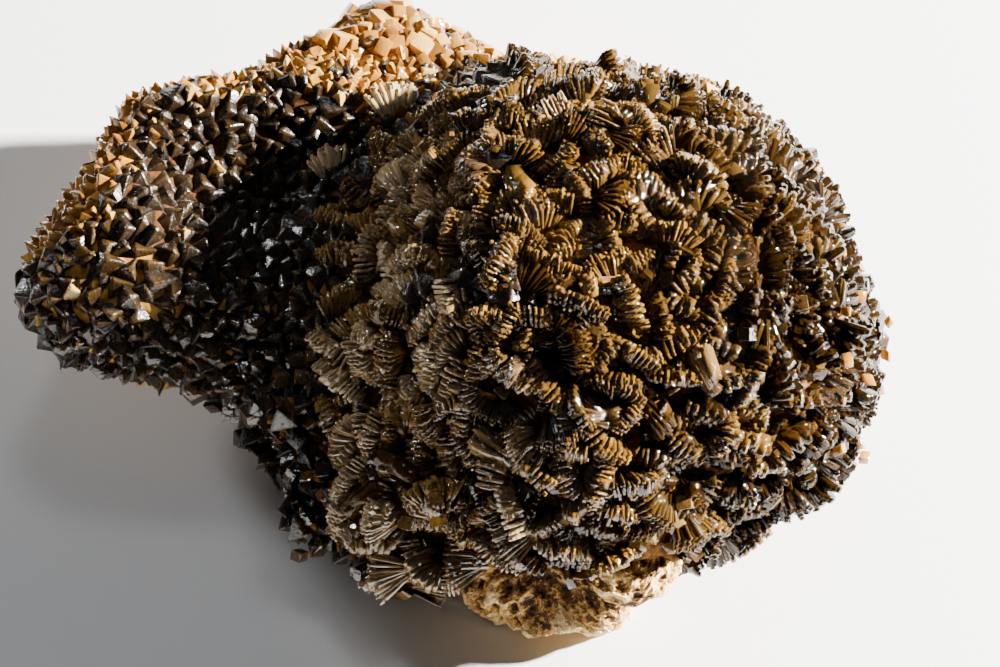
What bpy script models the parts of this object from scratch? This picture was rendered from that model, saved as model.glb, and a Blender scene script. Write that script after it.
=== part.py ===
"""Calcite specimen: a brown calcite crust of fans and dog teeth, grown over a pale limestone matrix."""

import math

import bmesh
import bpy
import numpy as np
from mathutils import Euler, Vector, geometry, noise

MM = 0.001
SEED = 1939

# How far the crust's outline reaches from the dome's axis, seen from above: degrees from the right, then mm.
OUTLINE = (
    (0, 59), (10, 61), (25, 60), (34, 63), (47, 65), (59, 63), (70, 58), (95, 55), (104, 56), (112, 65),
    (119, 71), (125, 76), (132, 74), (138, 77), (145, 78), (150, 86), (157, 95), (162, 95), (169, 96), (174, 99),
    (176, 102), (182, 104), (185, 101), (188, 83), (194, 69), (202, 69), (214, 66), (226, 63), (238, 58),
    (245, 55), (262, 52), (291, 53), (303, 56), (315, 56), (328, 58), (341, 59),
)

# The bodies that the smooth forms are blended from: centre and half sizes in mm, then roll, lean and turn in degrees.
# Roll lifts the far side and lean lifts the left side.
DOME = ((25, -10, 9), (51, 48, 47), (0, 0, 0))
FLANK = ((0, -22, 8), (39, 33, 26), (0, 0, 0))
WING = ((-29, 7, 24), (53, 35, 13), (16, 7, 19))
DISH = ((-36, 9, 60), (44, 27, 29), (16, 4, 19))
NOTCH = ((22, -62, 4), (21, 13, 12), (0, 0, 0))
CORE = ((22, -8, 3), (40, 38, 32), (0, 0, 0))
WING_ROCK = ((-30, 7, 15), (46, 25, 11), (16, 9, 17))
NEAR_LUMP = ((17, -52, 5), (14, 13, 9), (0, 0, 15))
LEDGE = ((25, -52, 15), (18, 10, 4), (-8, 0, 0))
FAR_LUMP = ((19, 38, 15), (17, 11, 9), (0, 0, 0))

# How softly the bodies run into each other, and the uneven swellings on them: height, length and seed.
DOME_TO_WING = 9
DISH_EDGE = 4
NOTCH_EDGE = 4
FLOOR_EDGE = 7
ROCK_BLEND = 5
CRUST_SWELLINGS = ((1.6, 34, 5), (0.8, 15, 6))
CRUST_FLOOR = 4
FLOOR_SWELLING = (30, 8)

# Each form's skin is laid out along sections that start on an upright axis and run down and round underneath.
CRUST_AXIS = np.array((25, -10, 70))
SECTIONS = 180
STRIDE = 1.0
STEPS = 190
RIM_CORNERS = 40
TRIES = 26000

# Where each kind of crystal grows. Turns are in degrees round the dome, and a facing is the upward share of it.
TEETH_START = 2.5
FLANK_TURNS = (197, 242)
FLANK_TOP = 32
UNDERSIDE_FACING = -0.35
# The crust's skin ends where it faces this far down and has sunk this deep into the rock.
END_FACING = -0.2
END_DEPTH = 3

# How far apart the skin's corners are, and how tall the crystals stand.
TOOTH_SPACING = 3.4
FLANK_SPACING = 5.0
FAN_SPACING = 5.4
UNDERSIDE_SPACING = 7.5
TOOTH_HEIGHT = 3.0
FLANK_HEIGHT = 4.6
FAN_HEIGHT = 3.8
CREST_ARCH = 1.1
CREST_WIDTH = (0.25, 0.5)
FAN_INSET = 0.3
CRYSTAL_REACH = 3.4

# The rock's bumps: their height, how far apart the large and the small ones are, and how smooth the hidden rock is.
ROCK_ROUGHNESS = 2.4
ROCK_BUMPS = (9, 3.5)
HIDDEN_SHARE = 0.2
HIDDEN_DEPTH = 4
GAP = 0.4
CRUMB = 0.01
BELOW_FOOT = 300

CRUST_COLOUR = (0.19, 0.085, 0.025)
ROCK_COLOUR = (0.62, 0.48, 0.31)

rng = np.random.default_rng(SEED)


def body_distance(points, body):
    """About how far each point is outside one turned ellipsoid."""
    centre, half, angles = body
    turned = np.array(Euler([math.radians(a) for a in angles], "XYZ").to_matrix())
    q = (points - np.array(centre, float)) @ turned / np.array(half, float)
    near = np.linalg.norm(q, axis=-1)
    slope = np.linalg.norm(q / np.array(half, float), axis=-1)
    return near * (near - 1) / np.maximum(slope, 1e-9)


def joined(a, b, width):
    """The smaller of two distances, rounded where they meet."""
    share = np.clip(0.5 + 0.5 * (b - a) / width, 0, 1)
    return b + (a - b) * share - width * share * (1 - share)


def cut_away(a, b, width):
    """The distance to what is left of a when b is scooped out of it."""
    return -joined(-a, b, width)


def waves(points, length, seed):
    """Smooth uneven swellings of about this length, mostly between -1 and 1."""
    turns = np.random.default_rng(seed)
    ways = turns.normal(size=(7, 3))
    ways *= 2 * math.pi / length / np.linalg.norm(ways, axis=1)[:, None]
    starts = turns.uniform(0, 2 * math.pi, 7)
    return np.sin(points @ ways.T + starts).sum(axis=-1) / 4


def plain_crust(points):
    """The crust's form before its outline is drawn out to the specimen's."""
    wing = cut_away(body_distance(points, WING), body_distance(points, DISH), DISH_EDGE)
    form = joined(body_distance(points, DOME), body_distance(points, FLANK), DOME_TO_WING)
    form = joined(form, wing, DOME_TO_WING)
    for height, length, seed in CRUST_SWELLINGS:
        form = form - height * waves(points, length, seed)
    form = cut_away(form, body_distance(points, NOTCH), NOTCH_EDGE)
    floor = CRUST_FLOOR + waves(points, *FLOOR_SWELLING) - points[..., 2]
    return -joined(-form, -floor, FLOOR_EDGE)


def crust_form(points):
    """About how far each point is outside the crust, before any crystal stands on it."""
    offset = points - CRUST_AXIS
    turn = np.degrees(np.arctan2(offset[..., 1], offset[..., 0])) % 360
    drawn = np.interp(turn, stretch[0], stretch[1])[..., None]
    flat = offset * np.array([1, 1, 0])
    return plain_crust(points - flat + flat / drawn)


def rock_form(points):
    """About how far each point is outside the rock's joined lumps."""
    form = body_distance(points, CORE)
    for body in (WING_ROCK, NEAR_LUMP, FAR_LUMP):
        form = joined(form, body_distance(points, body), ROCK_BLEND)
    return np.maximum(form, -points[..., 2])


def walk(form, axis):
    """The form's section at every turn round the axis, as points one stride apart."""
    angles = np.arange(SECTIONS) * 2 * math.pi / SECTIONS
    ways = np.stack([np.cos(angles), np.sin(angles), 0 * angles], axis=1)
    centre = np.array([axis[0], axis[1], 0.0])
    above = np.array([0, 0, 1.0])

    def place(out, up):
        return centre + out[:, None] * ways + up[:, None] * above

    def slope(out, up):
        step = 0.2
        across = form(place(out + step, up)) - form(place(out - step, up))
        rise = form(place(out, up + step)) - form(place(out, up - step))
        found = np.stack([across, rise], axis=1)
        return found / np.maximum(np.linalg.norm(found, axis=1), 1e-9)[:, None]

    out = np.full(SECTIONS, 1e-3)
    up = np.full(SECTIONS, float(axis[2]))
    for _ in range(60):
        up = up - 0.8 * form(place(out, up))
    rows = []
    for _ in range(STEPS):
        rows.append(place(out, up))
        way = slope(out, up)
        out, up = out + STRIDE * way[:, 1], up - STRIDE * way[:, 0]
        for _ in range(3):
            way = slope(out, up)
            error = form(place(out, up))
            out, up = out - error * way[:, 0], up - error * way[:, 1]
    return np.array(rows)


def outline_stretch():
    """How much further than the plain form the outline reaches, by degrees."""
    degrees = np.arange(SECTIONS + 1) * 360 / SECTIONS
    plain = walk(plain_crust, CRUST_AXIS)
    reach = np.linalg.norm((plain - CRUST_AXIS)[..., :2], axis=-1).max(axis=0)
    wanted = np.interp(degrees, *zip(*OUTLINE), period=360) - CRYSTAL_REACH
    return degrees, wanted / np.append(reach, reach[0])


def outward(form, points):
    """The way that the form faces at each point."""
    found = np.stack([form(points + d) - form(points - d) for d in 0.3 * np.eye(3)], axis=-1)
    return found / np.maximum(np.linalg.norm(found, axis=-1, keepdims=True), 1e-9)


def between(grid, turns, steps):
    """The points of a walked grid at turns from 0 to 1 and numbers of steps."""
    column = turns % 1 * SECTIONS
    i = column.astype(int)
    j = np.minimum(steps, STEPS - 2).astype(int)
    a = (column - i)[:, None]
    b = (steps - j)[:, None]
    k = (i + 1) % SECTIONS
    low = grid[j, i] * (1 - a) + grid[j, k] * a
    high = grid[j + 1, i] * (1 - a) + grid[j + 1, k] * a
    return low * (1 - b) + high * b


stretch = outline_stretch()


def growth_at(places):
    """Which kind of crystal covers the crust at each place, as a number: underside 0, teeth 1, flank 2, fans 3."""
    turn = np.degrees(np.arctan2(places[:, 1] - DOME[0][1], places[:, 0] - DOME[0][0])) % 360
    kind = np.where(body_distance(places, DOME) > TEETH_START, 1, 3)
    on_flank = (turn > FLANK_TURNS[0]) & (turn < FLANK_TURNS[1]) & (places[:, 2] < FLANK_TOP)
    kind = np.where(on_flank, 2, kind)
    return np.where(outward(crust_form, places)[:, 2] < UNDERSIDE_FACING, 0, kind)


def scattered(grid, ends):
    """Corners strewn over the crust, none nearer to another than the spacing there, and an even ring round its end."""
    sections = np.arange(SECTIONS + 1) / SECTIONS
    ring = np.arange(RIM_CORNERS) / RIM_CORNERS
    radius = np.linalg.norm(grid[..., :2] - grid[0, 0, :2], axis=-1)
    weight = (radius * (np.arange(STEPS)[:, None] < ends[None, :] - 2)).ravel()
    picks = rng.choice(weight.size, size=TRIES, p=weight / weight.sum())
    turns = (picks % SECTIONS + rng.uniform(0, 1, TRIES)) / SECTIONS
    steps = picks // SECTIONS + rng.uniform(0, 1, TRIES)
    inside = steps < np.interp(turns, sections, np.append(ends, ends[0])) - 2
    turns = np.concatenate([ring, turns[inside]])
    steps = np.concatenate([np.interp(ring, sections, np.append(ends, ends[0])), steps[inside]])
    places = between(grid, turns, steps)
    near = np.array([UNDERSIDE_SPACING, TOOTH_SPACING, FLANK_SPACING, FAN_SPACING])[growth_at(places)]
    kept = list(range(RIM_CORNERS))
    held = np.zeros_like(places)
    held[:RIM_CORNERS] = places[:RIM_CORNERS]
    for k in range(RIM_CORNERS, len(places)):
        if np.square(held[: len(kept)] - places[k]).sum(axis=1).min() > near[k] ** 2:
            held[len(kept)] = places[k]
            kept.append(k)
    return turns[kept] * 2 * math.pi, steps[kept], places[kept]


def crust_skin():
    """A closed mesh over the crust's form: triangles between strewn corners, with one face across the bottom."""
    grid = walk(crust_form, CRUST_AXIS)
    done = (outward(crust_form, grid)[..., 2] < END_FACING) & (rock_form(grid) < -END_DEPTH)
    ends = np.where(done.any(axis=0), done.argmax(axis=0), STEPS - 1)
    turns, steps, places = scattered(grid, ends)
    flat = [Vector(pair) for pair in zip(steps * np.cos(turns), steps * np.sin(turns))]
    rim = list(range(RIM_CORNERS))
    corners, _, faces, sources, _, _ = geometry.delaunay_2d_cdt(flat, [], [rim], 1, 1e-6)
    bm = bmesh.new()
    made = [bm.verts.new(places[sources[i][0]]) for i in range(len(corners))]
    for face in faces:
        bm.faces.new([made[i] for i in face])
    open_edges = [edge for edge in bm.edges if edge.is_boundary]
    bmesh.ops.holes_fill(bm, edges=open_edges, sides=0)
    bmesh.ops.recalc_face_normals(bm, faces=bm.faces)
    bm.normal_update()
    return bm


def grow_teeth(bm, faces, height):
    """A pyramid on every face, each with its own height and lean."""
    for face in faces:
        size = math.sqrt(face.calc_area())
        lift = height * rng.uniform(0.65, 1.2) * min(size / 2.6, 1.3)
        made = bmesh.ops.poke(bm, faces=[face], offset=lift, use_relative_offset=False)
        made["verts"][0].co += Vector(rng.uniform(-0.17, 0.17, 3)) * size


def grow_fans(bm, faces, fan_of):
    """A bundle of upright plates on every four-sided face: steep sides, and a narrow crest that arches end to end."""
    bmesh.ops.inset_individual(bm, faces=faces, thickness=FAN_INSET, depth=0)
    crests = {}
    for number, face in enumerate(faces, start=1):
        around = [loop.vert for loop in face.loops]
        first = (around[0].co - around[1].co).length + (around[2].co - around[3].co).length
        second = (around[1].co - around[2].co).length + (around[3].co - around[0].co).length
        if first > second:
            around = around[1:] + around[:1]
        rise = face.normal * FAN_HEIGHT * rng.uniform(0.6, 1.15) + Vector(rng.uniform(-0.6, 0.6, 3))
        middle = face.calc_center_median()
        width = rng.uniform(*CREST_WIDTH)
        ends = []
        for pair in (around[:2], around[2:]):
            end = (pair[0].co + pair[1].co) / 2
            top = middle + (end - middle) * rng.uniform(0.85, 1.0) + rise
            ends.append(top)
            for vert in pair:
                vert.co = top + (vert.co - end) * width
                vert[fan_of] = number
        crests[number] = (face.normal.copy(), ends[1] - ends[0])
    long_edges = []
    for edge in bm.edges:
        number = edge.verts[0][fan_of]
        if number and number == edge.verts[1][fan_of]:
            run = crests[number][1]
            if abs((edge.verts[0].co - edge.verts[1].co).dot(run)) > 0.5 * run.length_squared:
                long_edges.append(edge)
    added = set(bmesh.ops.bisect_edges(bm, edges=long_edges, cuts=2)["geom_split"])
    tops = [face for face in bm.faces if len(face.verts) == 8 and all(vert[fan_of] for vert in face.verts)]
    for top in tops:
        way = crests[top.verts[0][fan_of]][0]
        ring = list(top.verts)
        while ring[0] in added or ring[1] in added:
            ring = ring[1:] + ring[:1]
        for pair in ((ring[2], ring[7]), (ring[3], ring[6])):
            lift = CREST_ARCH * rng.uniform(0.4, 1.4)
            for vert in pair:
                vert.co += way * lift
            for face in set(pair[0].link_faces) & set(pair[1].link_faces):
                bmesh.utils.face_split(face, *pair)
                break


def material(name, colour, roughness):
    made = bpy.data.materials.new(name)
    made.use_nodes = True
    surface = made.node_tree.nodes["Principled BSDF"]
    surface.inputs["Base Color"].default_value = (*colour, 1)
    surface.inputs["Roughness"].default_value = roughness
    surface.inputs["Metallic"].default_value = 0
    return made


def finished(bm, name, collection):
    """The mesh as a named object in metres."""
    bmesh.ops.scale(bm, vec=(MM, MM, MM), verts=bm.verts)
    bmesh.ops.triangulate(bm, faces=bm.faces)
    bmesh.ops.recalc_face_normals(bm, faces=bm.faces)
    mesh = bpy.data.meshes.new(name)
    bm.to_mesh(mesh)
    bm.free()
    made = bpy.data.objects.new(name, mesh)
    collection.objects.link(made)
    return made


def rock_body(body, grown=0.0):
    """One rough lump of the rock, from an ellipsoid. It is uneven where it shows and smooth inside the crust."""
    bm = bmesh.new()
    bmesh.ops.create_icosphere(bm, subdivisions=3, radius=1)
    centre, half, angles = body
    turned = Euler([math.radians(a) for a in angles], "XYZ")
    for vert in bm.verts:
        spot = Vector([a * b for a, b in zip(vert.co, half)])
        spot.rotate(turned)
        vert.co = spot + Vector(centre)
    bm.normal_update()
    above = crust_form(np.array([vert.co for vert in bm.verts]))
    shown = np.clip(above / HIDDEN_DEPTH + 1, HIDDEN_SHARE, 1)
    for vert, share in zip(bm.verts, shown):
        rough = noise.noise(vert.co / ROCK_BUMPS[0]) + 0.7 * noise.noise(vert.co / ROCK_BUMPS[1])
        vert.co += vert.normal * (rough * ROCK_ROUGHNESS * share)
    bm.normal_update()
    for vert in bm.verts:
        vert.co += vert.normal * (grown * min(vert.calc_shell_factor(), 1.6))
    return bm


def helper(bm, name, cutters):
    """The mesh as an object that only shapes others."""
    made = finished(bm, name, cutters)
    made.hide_render = True
    made.display_type = "WIRE"
    return made


def boolean(target, name, operation, other):
    made = target.modifiers.new(name, "BOOLEAN")
    made.operation = operation
    made.solver = "EXACT"
    made.use_self = True
    made.object = other


def settle(target):
    """Applies a body's modifiers and drops the crumbs that they leave, so that one closed piece is left."""
    graph = bpy.context.evaluated_depsgraph_get()
    whole = bmesh.new()
    whole.from_mesh(bpy.data.meshes.new_from_object(target.evaluated_get(graph)))
    target.modifiers.clear()
    unseen = set(whole.faces)
    pieces = []
    while unseen:
        front = [unseen.pop()]
        piece = list(front)
        while front:
            face = front.pop()
            for edge in face.edges:
                for other in edge.link_faces:
                    if other in unseen and len(edge.link_faces) == 2:
                        unseen.remove(other)
                        front.append(other)
                        piece.append(other)
        pieces.append(piece)
    largest = set(max(pieces, key=len))
    bmesh.ops.delete(whole, geom=[face for face in whole.faces if face not in largest], context="FACES")
    bmesh.ops.triangulate(whole, faces=whole.faces)
    bmesh.ops.remove_doubles(whole, verts=whole.verts, dist=CRUMB * MM)
    bmesh.ops.dissolve_degenerate(whole, edges=whole.edges, dist=CRUMB * MM)
    bmesh.ops.triangulate(whole, faces=whole.faces)
    whole.to_mesh(target.data)
    whole.free()


def build_rock(collection, cutters):
    """The matrix: its lumps joined in one rock and cut off flat at the foot."""
    rock = finished(rock_body(CORE), "matrix", collection)
    for name, body in (("wing", WING_ROCK), ("near_lump", NEAR_LUMP), ("far_lump", FAR_LUMP), ("ledge", LEDGE)):
        boolean(rock, name, "UNION", helper(rock_body(body), "rock_" + name, cutters))
    below = bmesh.new()
    bmesh.ops.create_cube(below, size=BELOW_FOOT)
    bmesh.ops.translate(below, vec=(0, 0, -BELOW_FOOT / 2), verts=below.verts)
    boolean(rock, "foot", "DIFFERENCE", helper(below, "below_foot", cutters))
    settle(rock)
    rock.data.materials.append(material("matrix_rock", ROCK_COLOUR, 0.9))
    return rock


def build_hollow(cutters):
    """All the rock's lumps, larger by the gap, to hollow the crust with."""
    whole = bpy.data.meshes.new("rock_hollow")
    bm = bmesh.new()
    for body in (CORE, WING_ROCK, NEAR_LUMP, FAR_LUMP, LEDGE):
        rock_body(body, GAP).to_mesh(whole)
        bm.from_mesh(whole)
    return helper(bm, "rock_hollow", cutters)


def faces_by_kind(bm):
    """The crust's faces in four lists: underside, teeth, flank and fans. The one face across the bottom is left out."""
    faces = [face for face in bm.faces if len(face.verts) <= 4]
    kinds = growth_at(np.array([face.calc_center_median() for face in faces]))
    return [[face for face, own in zip(faces, kinds) if own == kind] for kind in range(4)]


def build_crust(collection, hollow):
    """The calcite: a skin with a crystal grown out of each of its faces, hollowed where the rock is."""
    bm = crust_skin()
    fan_of = bm.verts.layers.int.new("fan")
    _, _, flank, fans = faces_by_kind(bm)
    bmesh.ops.join_triangles(bm, faces=flank + fans, angle_face_threshold=math.pi, angle_shape_threshold=math.pi)
    _, teeth, flank, fans = faces_by_kind(bm)
    grow_teeth(bm, teeth + [face for face in fans if len(face.verts) == 3], TOOTH_HEIGHT)
    grow_teeth(bm, flank, FLANK_HEIGHT)
    grow_fans(bm, [face for face in fans if face.is_valid and len(face.verts) == 4], fan_of)
    crust = finished(bm, "calcite_crystals", collection)
    boolean(crust, "hollow", "DIFFERENCE", hollow)
    settle(crust)
    crust.data.materials.append(material("brown_calcite", CRUST_COLOUR, 0.2))
    return crust


def centre_over_foot(bodies):
    """Moves the bodies together, so that the middle of their footprint is the origin."""
    corners = np.array([vert.co for body in bodies for vert in body.data.vertices])
    middle = (corners.min(axis=0) + corners.max(axis=0)) / 2
    for body in bodies:
        for vert in body.data.vertices:
            vert.co -= Vector((middle[0], middle[1], 0))


def main():
    for obj in list(bpy.data.objects):
        bpy.data.objects.remove(obj)
    specimen = bpy.data.collections.new("calcite_specimen")
    cutters = bpy.data.collections.new("cutters")
    for collection in (specimen, cutters):
        bpy.context.scene.collection.children.link(collection)
    rock = build_rock(specimen, cutters)
    crust = build_crust(specimen, build_hollow(cutters))
    centre_over_foot([rock, crust])


main()
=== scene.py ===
# %% [markdown]
# # Calcite specimen
# Brown calcite has grown as a crust over a lump of pale limestone. On the right it stands in a dome of
# cockscomb fans, on the left it spreads in a dished wing of dog teeth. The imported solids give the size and
# the main forms. This lesson grows the single crystals on them and gives every surface its finish.

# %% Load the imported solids
import math
import bpy
import numpy as np
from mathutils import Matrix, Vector
from mathutils.bvhtree import BVHTree


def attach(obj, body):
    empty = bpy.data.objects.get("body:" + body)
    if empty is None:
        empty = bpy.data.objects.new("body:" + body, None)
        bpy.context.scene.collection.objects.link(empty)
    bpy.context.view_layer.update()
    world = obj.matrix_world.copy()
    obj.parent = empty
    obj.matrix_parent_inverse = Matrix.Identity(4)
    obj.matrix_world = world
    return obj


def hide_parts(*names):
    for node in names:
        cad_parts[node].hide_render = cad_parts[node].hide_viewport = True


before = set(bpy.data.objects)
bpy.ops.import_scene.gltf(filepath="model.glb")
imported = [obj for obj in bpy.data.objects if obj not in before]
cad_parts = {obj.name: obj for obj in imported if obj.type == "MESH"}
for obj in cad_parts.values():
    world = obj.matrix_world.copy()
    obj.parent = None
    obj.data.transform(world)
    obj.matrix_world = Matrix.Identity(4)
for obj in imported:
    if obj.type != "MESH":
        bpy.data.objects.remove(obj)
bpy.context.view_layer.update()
MM = 0.001
rng = np.random.default_rng(77)

# %% [markdown]
# ## Camera
# The photograph looks down on the specimen from its near side, about 60 degrees above the table. A long
# lens keeps the forms from spreading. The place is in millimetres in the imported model's own frame.

# %% Set the camera
CAMERA_PLACE = Vector((6.6, -216.0, 388.7)) * MM
CAMERA_TILT = 29.68
bpy.ops.object.camera_add(location=CAMERA_PLACE, rotation=(math.radians(CAMERA_TILT), 0, 0))
camera = bpy.context.object
camera.data.lens = 85
camera.data.clip_start = 0.01
bpy.context.scene.camera = camera
print("camera", round(CAMERA_PLACE.length, 3), "m from the origin")

# %% [markdown]
# ## Table and light
# A pale table and a plain studio light. The key light stands low on the far right, so the dome shades the
# wing's dish and the near side, and the rims catch it. Their glow, where light would shine through them, is
# painted into their colour. A weak soft light from the far left and another overhead give the flat faces of
# the shaded side something to mirror.

# %% Lay the table
TABLE_SIDE = 6
bpy.ops.mesh.primitive_plane_add(size=TABLE_SIDE, location=(0, 0, 0))
table = bpy.context.object
table.name = "table"


def light(name, towards, distance, size, power, colour):
    """A round area light that shines on the specimen from one direction."""
    place = Vector(towards).normalized() * distance
    turn = place.to_track_quat("Z", "Y").to_euler()
    bpy.ops.object.light_add(type="AREA", location=place, rotation=turn)
    made = bpy.context.object
    made.name = name
    made.data.shape = "DISK"
    made.data.size = size
    made.data.energy = power
    made.data.color = colour
    print(name, "light:", power, "W")


light("key", (0.916, 0.178, 0.358), 1.5, 0.08, 400, (1.0, 0.97, 0.92))
light("window", (-0.75, 0.55, 0.36), 1.4, 0.2, 8.5, (0.95, 0.97, 1.0))
light("overhead", (0.05, 0.45, 0.88), 1.3, 0.25, 1.4, (0.94, 0.97, 1.0))
world = bpy.data.worlds.new("studio")
world.use_nodes = True
background = world.node_tree.nodes["Background"]
background.inputs["Color"].default_value = (0.93, 0.96, 1.0, 1)
background.inputs["Strength"].default_value = 0.07
bpy.context.scene.world = world

# %% [markdown]
# ## Working by hand, in code
# Every operator acts on what is selected, so each step first selects its piece alone. Modifiers are applied
# at once, which leaves plain meshes at the origin.

# %% Small helpers
def alone(piece):
    """Selects one piece and nothing else."""
    bpy.ops.object.select_all(action="DESELECT")
    piece.select_set(True)
    bpy.context.view_layer.objects.active = piece


def applied(piece, kind, **settings):
    """Adds one modifier with these settings and applies it."""
    made = piece.modifiers.new(kind.lower(), kind)
    for name, value in settings.items():
        setattr(made, name, value)
    alone(piece)
    bpy.ops.object.modifier_apply(modifier=made.name)


def smooth_copy(node, name, voxel, rounds):
    """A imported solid's copy, its loose triangles merged, remeshed in even squares and smoothed."""
    piece = bpy.data.objects.new(name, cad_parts[node].data.copy())
    bpy.context.scene.collection.objects.link(piece)
    piece.data.materials.clear()
    alone(piece)
    bpy.ops.object.mode_set(mode="EDIT")
    bpy.ops.mesh.select_all(action="SELECT")
    bpy.ops.mesh.remove_doubles(threshold=1e-6)
    bpy.ops.object.mode_set(mode="OBJECT")
    applied(piece, "REMESH", mode="VOXEL", voxel_size=voxel * MM)
    applied(piece, "SMOOTH", factor=0.5, iterations=rounds)
    return piece


def corners_of(mesh):
    """The mesh's corners as rows of x, y and z in millimetres."""
    flat = np.zeros(len(mesh.vertices) * 3)
    mesh.vertices.foreach_get("co", flat)
    return flat.reshape(-1, 3) / MM


def facing_of(mesh):
    """The way that the mesh faces at each corner."""
    flat = np.zeros(len(mesh.vertices) * 3)
    mesh.vertices.foreach_get("normal", flat)
    return flat.reshape(-1, 3)


# %% [markdown]
# ## Where each kind of crystal grows
# The dome is close to an ellipsoid, so the distance to that ellipsoid tells the dome from the wing. The
# flank is the steep lower left side, below the place where the wing leaves the dome.

# %% Zones
DOME_CENTRE = np.array((22.5, -3.2, 9.0))
DOME_HALF = np.array((51.0, 48.0, 47.0))
DISH_CENTRE = np.array((-36.0, 14.0, 26.0))
DISH_SCALE = (1, 1.25, 0.5)


def outside_dome(points):
    """About how many millimetres each point is outside the dome's ellipsoid."""
    scaled = (points - DOME_CENTRE) / DOME_HALF
    reach = np.linalg.norm(scaled, axis=1)
    return reach * (reach - 1) / np.linalg.norm(scaled / DOME_HALF, axis=1)


def turn_round_dome(points):
    """Degrees round the dome, from the right and against the clock."""
    return np.degrees(np.arctan2(points[:, 1] - DOME_CENTRE[1], points[:, 0] - DOME_CENTRE[0])) % 360


def ramp(values, start, end):
    """A smooth step from 0 at start to 1 at end."""
    share = np.clip((values - start) / (end - start), 0, 1)
    return share * share * (3 - 2 * share)


def wing_share(points):
    """1 on the wing and 0 on the dome."""
    return ramp(outside_dome(points), 0.5, 4) * ramp(points[:, 0], 14, 6) * ramp(points[:, 1], -26, -18)


def rim_reach(points):
    """How far a point is from the middle of the dish, in mm; the rim is at about 42."""
    return np.linalg.norm((points - DISH_CENTRE) * DISH_SCALE, axis=1)


def lip_of(points, facing):
    """How far the wing has turned outwards: below 0 in the dish, above 0 beyond the crest of its rim."""
    outward = (points - DISH_CENTRE)[:, :2]
    outward = outward / np.linalg.norm(outward, axis=1)[:, None]
    return (facing[:, :2] * outward).sum(axis=1)


# %% [markdown]
# ## The crust under the crystals
# Between the crystals the eye falls on the crust that they share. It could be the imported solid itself, but
# its facets would show between the real ones. A remeshed and smoothed copy has no facets of its own, and it
# is sunk a little, so that the crystals stand free of it.

# %% Make the crust's skin
SINK_DOME = 3.2
SINK_WING = 0.6
# Painted glow in the skin's tone: a rust glow between the dome's crystals and a honey glow on the wing's lip.
DOME_GAP_GLOW = 0.28
RIM_LIP_GLOW = 0.72
SWELLS = (
    # x and y of the middle in mm, how far it reaches, and how far the crust swells out or draws in there
    (23, 46, 16, -2.6),
    (74, 4, 11, -2.2),
    (64, -28, 13, 2.2),
    (-62, -6, 15, 2.0),
    (-14, 57, 13, 2.0),
    (-22, -42, 20, -1.2),
)


def swell_at(points):
    """How far the crust stands out at each place, in mm, from the few broad swells and hollows of its rim."""
    total = np.zeros(len(points))
    for x, y, reach, out in SWELLS:
        total += out * np.exp(-((points[:, 0] - x) ** 2 + (points[:, 1] - y) ** 2) / reach**2)
    return total


crust = smooth_copy("calcite_crystals", "crust_skin", 1.4, 8)
stone_tree = BVHTree.FromObject(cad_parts["matrix"], bpy.context.evaluated_depsgraph_get())
skin_corners = corners_of(crust.data)
skin_facing = facing_of(crust.data)
rock_distance = np.array([stone_tree.find_nearest(Vector(c) * MM)[3] / MM for c in skin_corners])
# The crust's outer side is far from the rock, and its hollow side is close to it.
outer = ramp(rock_distance, 1.5, 4.5)
sink = SINK_DOME + (SINK_WING - SINK_DOME) * wing_share(skin_corners) - swell_at(skin_corners)
skin_corners = skin_corners - skin_facing * (sink * outer)[:, None]
crust.data.vertices.foreach_set("co", (skin_corners * MM).ravel())
crust.data.update()
# Painted light and shade in the skin's tone: a rust glow between the dome's crystals, a honey glow on the
# wing's outer lip where light shines through, and dark painted shade in the dish.
lip_glow_share = ramp(lip_of(skin_corners, skin_facing), -0.10, 0.15) * ramp(rim_reach(skin_corners), 20, 26)
skin_glow_and_shade = DOME_GAP_GLOW + (RIM_LIP_GLOW * lip_glow_share - DOME_GAP_GLOW) * wing_share(skin_corners)
crust.data.attributes.new("tone", "FLOAT", "POINT").data.foreach_set("value", skin_glow_and_shade)
bpy.ops.object.shade_smooth_by_angle(angle=math.radians(60))
print("crust skin:", len(crust.data.polygons), "faces")

# %% [markdown]
# ## Places for the crystals
# Crystals crowd each other evenly: they grow into their neighbours at the foot, but their points keep apart.
# Points strewn at random over the skin are kept one after another, if they are far enough from all that were
# kept before. Fans are longer along their crests, so there the distance counts less along the crest than
# across it.

# %% Strew places over the skin
crust.data.calc_loop_triangles()
triangles = np.zeros(len(crust.data.loop_triangles) * 3, int)
crust.data.loop_triangles.foreach_get("vertices", triangles)
triangles = triangles.reshape(-1, 3)
tri_corners = skin_corners[triangles]
tri_cross = np.cross(tri_corners[:, 1] - tri_corners[:, 0], tri_corners[:, 2] - tri_corners[:, 0])
tri_area = np.linalg.norm(tri_cross, axis=1)
tri_facing = facing_of(crust.data)[triangles].mean(axis=1)
tri_facing /= np.linalg.norm(tri_facing, axis=1)[:, None]
tri_outer = outer[triangles].min(axis=1) > 0.35


def strewn(tries, spacing, wanted, ways=None, stretch=1.0):
    """Even random places on the wanted part of the skin, its facing and the way of a crest at each."""
    weight = tri_area * (tri_outer & wanted(tri_corners.mean(axis=1), tri_facing))
    picks = rng.choice(len(weight), size=tries, p=weight / weight.sum())
    share = rng.uniform(0, 1, (tries, 2))
    share[share.sum(axis=1) > 1] = 1 - share[share.sum(axis=1) > 1]
    a, b, c = (tri_corners[picks, k] for k in range(3))
    spots = a + share[:, :1] * (b - a) + share[:, 1:] * (c - a)
    crests = ways(spots, tri_facing[picks]) if ways else np.zeros_like(spots)
    held = np.zeros_like(spots)
    kept = []
    for k in range(tries):
        apart = held[: len(kept)] - spots[k]
        gap = np.square(apart).sum(axis=1) - (1 - stretch**-2) * (apart @ crests[k]) ** 2
        if not kept or gap.min() > spacing**2:
            held[len(kept)] = spots[k]
            kept.append(k)
    return spots[kept], tri_facing[picks[kept]], crests[kept]
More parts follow.
